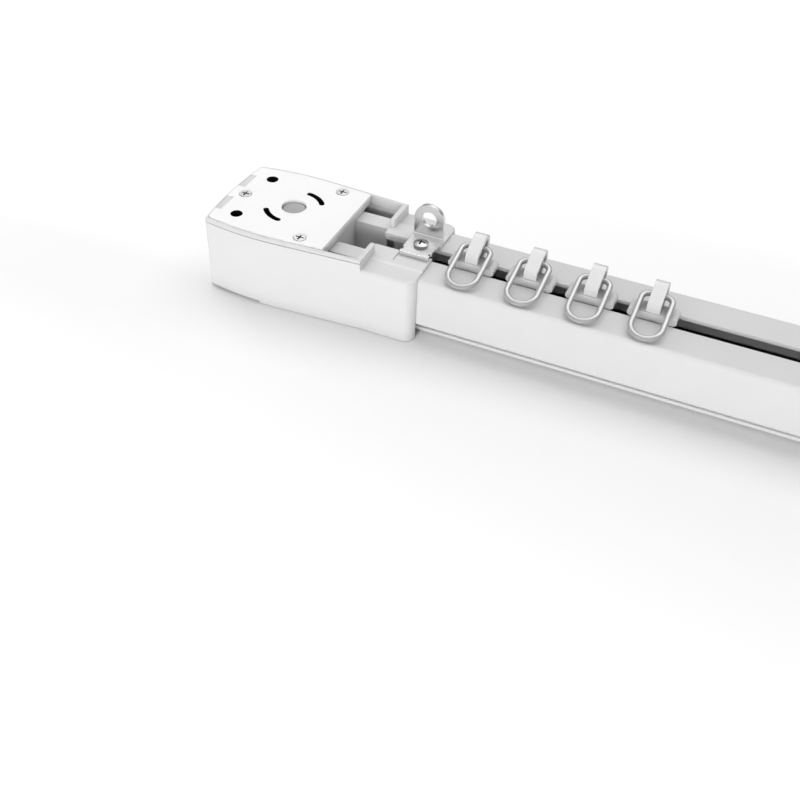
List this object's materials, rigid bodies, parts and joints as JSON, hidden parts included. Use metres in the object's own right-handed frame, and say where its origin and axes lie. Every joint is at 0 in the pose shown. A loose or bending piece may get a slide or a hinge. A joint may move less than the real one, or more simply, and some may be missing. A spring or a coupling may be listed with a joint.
{
  "type": "electric curtain track",
  "caption": "Belt-driven curtain track: slotted white rail, end units with motor plates, master carrier with overlap arm, ringed runners and an end hook.",
  "frame": {"origin": "mid length, on the rail's centre plane, on the face that the end units' lids lie on", "axes": "+X along the rail from the unit with the end hook to the other unit, +Y across it, +Z out of the slot; the track lies slot up, and is turned 180 degrees about X to hang under a ceiling"},
  "size_m": [0.9, 0.0496, 0.0523],
  "materials": {
    "white_rail": "satin white coat on an aluminium extrusion",
    "white_shell": "fine satin moulding",
    "white_lid": "semi-gloss moulding",
    "plate_steel": "satin white coat on pressed steel",
    "screw_steel": "bright zinc",
    "hook_steel": "polished",
    "dark_steel": "satin dark grey coat",
    "dark_screw": "semi-gloss black",
    "belt_rubber": "matte",
    "pulley_plastic": "glass filled moulding",
    "plug_plastic": "satin moulding",
    "bush_metal": "plain turned",
    "clamp_plastic": "glass filled moulding",
    "clear_white": "milky, slightly translucent",
    "runner_white": "glossy acetal",
    "wheel_white": "satin acetal",
    "ring_chrome": "bright plated"
  },
  "bodies": {
    "track": {"rail": "white_rail", "drive_housing": "white_shell", "drive_lid": "white_lid", "drive_motor_plate": "plate_steel", "drive_plate_screws": "screw_steel", "drive_upper_bush": "bush_metal", "drive_lower_bush": "bush_metal", "return_housing": "white_shell", "return_lid": "white_lid", "return_motor_plate": "plate_steel", "return_plate_screws": "screw_steel", "return_upper_bush": "bush_metal", "return_lower_bush": "bush_metal", "drive_belt": "belt_rubber", "end_hook": "hook_steel", "end_hook_screw": "screw_steel", "end_hook_nut": "screw_steel"},
    "drive_pulley": {"drive_pulley": "pulley_plastic", "drive_socket_plug": "plug_plastic"},
    "return_pulley": {"return_pulley": "pulley_plastic", "return_socket_plug": "plug_plastic"},
    "carrier": {"carrier_body": "clear_white", "belt_clamp": "clamp_plastic", "clamp_screws": "screw_steel", "overlap_arm": "dark_steel", "arm_screws": "dark_screw"},
    "carrier_front_wheelset": {"carrier_front_axle": "screw_steel", "carrier_front_wheels": "wheel_white"},
    "carrier_rear_wheelset": {"carrier_rear_axle": "screw_steel", "carrier_rear_wheels": "wheel_white"},
    "runner_1": {"runner_1_body": "runner_white"},
    "runner_1_wheelset": {"runner_1_axle": "screw_steel", "runner_1_wheels": "wheel_white"},
    "runner_1_ring": {"runner_1_ring": "ring_chrome"},
    "runner_2": {"runner_2_body": "runner_white"},
    "runner_2_wheelset": {"runner_2_axle": "screw_steel", "runner_2_wheels": "wheel_white"},
    "runner_2_ring": {"runner_2_ring": "ring_chrome"},
    "runner_3": {"runner_3_body": "runner_white"},
    "runner_3_wheelset": {"runner_3_axle": "screw_steel", "runner_3_wheels": "wheel_white"},
    "runner_3_ring": {"runner_3_ring": "ring_chrome"},
    "runner_4": {"runner_4_body": "runner_white"},
    "runner_4_wheelset": {"runner_4_axle": "screw_steel", "runner_4_wheels": "wheel_white"},
    "runner_4_ring": {"runner_4_ring": "ring_chrome"},
    "runner_5": {"runner_5_body": "runner_white"},
    "runner_5_wheelset": {"runner_5_axle": "screw_steel", "runner_5_wheels": "wheel_white"},
    "runner_5_ring": {"runner_5_ring": "ring_chrome"}
  },
  "joints": [
    {"name": "carrier_slide", "type": "slide", "parent": "track", "child": "carrier", "axis": [1, 0, 0], "range_m": [-0.32, 0.095]},
    {"name": "drive_pulley_spin", "type": "hinge", "parent": "track", "child": "drive_pulley", "pos_m": [-0.4209, 0, 0.0127], "axis": [0, 0, 1], "continuous": true},
    {"name": "return_pulley_spin", "type": "hinge", "parent": "track", "child": "return_pulley", "pos_m": [0.4209, 0, 0.0127], "axis": [0, 0, 1], "continuous": true},
    {"name": "carrier_front_wheels_spin", "type": "hinge", "parent": "carrier", "child": "carrier_front_wheelset", "pos_m": [0.248, 0, 0.0213], "axis": [0, 1, 0], "continuous": true},
    {"name": "carrier_rear_wheels_spin", "type": "hinge", "parent": "carrier", "child": "carrier_rear_wheelset", "pos_m": [0.1876, 0, 0.0213], "axis": [0, 1, 0], "continuous": true},
    {"name": "runner_1_slide", "type": "slide", "parent": "track", "child": "runner_1", "axis": [1, 0, 0], "range_m": [-0.005, 0.098]},
    {"name": "runner_1_wheels_spin", "type": "hinge", "parent": "runner_1", "child": "runner_1_wheelset", "pos_m": [-0.3449, 0, 0.0213], "axis": [0, 1, 0], "continuous": true},
    {"name": "runner_1_ring_swing", "type": "hinge", "parent": "runner_1", "child": "runner_1_ring", "pos_m": [-0.3449, 0.004, 0.0326], "axis": [-1, 0, 0], "range_deg": [0, 205]},
    {"name": "runner_2_slide", "type": "slide", "parent": "runner_1", "child": "runner_2", "axis": [1, 0, 0], "range_m": [-0.0047, 0.098]},
    {"name": "runner_2_wheels_spin", "type": "hinge", "parent": "runner_2", "child": "runner_2_wheelset", "pos_m": [-0.3219, 0, 0.0213], "axis": [0, 1, 0], "continuous": true},
    {"name": "runner_2_ring_swing", "type": "hinge", "parent": "runner_2", "child": "runner_2_ring", "pos_m": [-0.3219, 0.004, 0.0326], "axis": [-1, 0, 0], "range_deg": [0, 205]},
    {"name": "runner_3_slide", "type": "slide", "parent": "runner_2", "child": "runner_3", "axis": [1, 0, 0], "range_m": [-0.0047, 0.098]},
    {"name": "runner_3_wheels_spin", "type": "hinge", "parent": "runner_3", "child": "runner_3_wheelset", "pos_m": [-0.2989, 0, 0.0213], "axis": [0, 1, 0], "continuous": true},
    {"name": "runner_3_ring_swing", "type": "hinge", "parent": "runner_3", "child": "runner_3_ring", "pos_m": [-0.2989, 0.004, 0.0326], "axis": [-1, 0, 0], "range_deg": [0, 205]},
    {"name": "runner_4_slide", "type": "slide", "parent": "runner_3", "child": "runner_4", "axis": [1, 0, 0], "range_m": [-0.0047, 0.098]},
    {"name": "runner_4_wheels_spin", "type": "hinge", "parent": "runner_4", "child": "runner_4_wheelset", "pos_m": [-0.2759, 0, 0.0213], "axis": [0, 1, 0], "continuous": true},
    {"name": "runner_4_ring_swing", "type": "hinge", "parent": "runner_4", "child": "runner_4_ring", "pos_m": [-0.2759, 0.004, 0.0326], "axis": [-1, 0, 0], "range_deg": [0, 205]},
    {"name": "runner_5_slide", "type": "slide", "parent": "carrier", "child": "runner_5", "axis": [1, 0, 0], "range_m": [-0.075, 0.03]},
    {"name": "runner_5_wheels_spin", "type": "hinge", "parent": "runner_5", "child": "runner_5_wheelset", "pos_m": [0.141, 0, 0.0213], "axis": [0, 1, 0], "continuous": true},
    {"name": "runner_5_ring_swing", "type": "hinge", "parent": "runner_5", "child": "runner_5_ring", "pos_m": [0.141, 0.004, 0.0326], "axis": [-1, 0, 0], "range_deg": [0, 205]}
  ],
  "couplings": [
    {"joint": "drive_pulley_spin", "follows": "carrier_slide", "rad_per_m": -99.733},
    {"joint": "return_pulley_spin", "follows": "carrier_slide", "rad_per_m": -99.733},
    {"joint": "carrier_front_wheels_spin", "follows": "carrier_slide", "rad_per_m": -303.03},
    {"joint": "carrier_rear_wheels_spin", "follows": "carrier_slide", "rad_per_m": -303.03},
    {"joint": "runner_1_wheels_spin", "follows": "runner_1_slide", "rad_per_m": -303.03},
    {"joint": "runner_2_wheels_spin", "follows": "runner_2_slide", "rad_per_m": -303.03},
    {"joint": "runner_3_wheels_spin", "follows": "runner_3_slide", "rad_per_m": -303.03},
    {"joint": "runner_4_wheels_spin", "follows": "runner_4_slide", "rad_per_m": -303.03},
    {"joint": "runner_5_wheels_spin", "follows": "runner_5_slide", "rad_per_m": -303.03}
  ]
}
